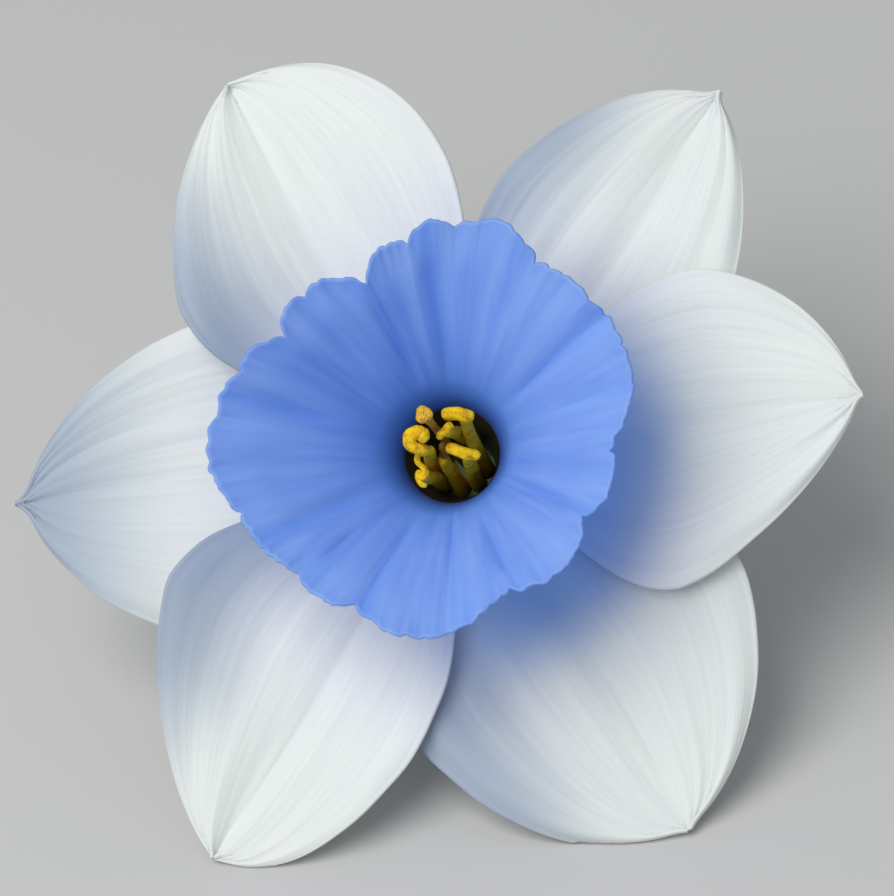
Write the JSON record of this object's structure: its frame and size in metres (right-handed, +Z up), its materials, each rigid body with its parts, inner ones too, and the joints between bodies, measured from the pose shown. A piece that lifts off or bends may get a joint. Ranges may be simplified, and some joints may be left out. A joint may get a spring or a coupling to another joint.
{
  "type": "narcissus flower",
  "caption": "Cut narcissus flower resting on its lower petals and short stem, with white petals, a frilled blue trumpet, golden stamens and a papery sheath.",
  "frame": {"origin": "on the surface the flower rests on, under the middle of its bounding box", "axes": "+Z up; the flower faces -Y and up, at 50 degrees above the surface; the cut stem lies back along +Y"},
  "size_m": [0.0917, 0.1029, 0.0589],
  "materials": {
    "petal": "natural petal, satin, slightly translucent",
    "corona": "natural petal tissue, satin, translucent blue",
    "floral_tube": "natural plant tissue, satin",
    "ovary": "natural plant tissue, satin",
    "filament": "natural plant tissue, satin",
    "anther": "pollen-dusted, matt",
    "pistil": "natural plant tissue, satin",
    "stem": "natural plant tissue, waxy satin",
    "sheath": "dry papery membrane, matt"
  },
  "bodies": {
    "root": {"petal_inner_upper_left": "petal", "petal_inner_right": "petal", "petal_inner_lower_left": "petal", "petal_outer_upper_right": "petal", "petal_outer_lower_right": "petal", "petal_outer_left": "petal", "corona": "corona", "floral_tube": "floral_tube", "ovary": "ovary", "filament_1": "filament", "filament_2": "filament", "filament_3": "filament", "filament_4": "filament", "filament_5": "filament", "filament_6": "filament", "anther_1": "anther", "anther_2": "anther", "anther_3": "anther", "anther_4": "anther", "anther_5": "anther", "anther_6": "anther", "style": "pistil", "stigma": "pistil", "pedicel": "stem", "stem": "stem", "sheath": "sheath"}
  },
  "joints": []
}
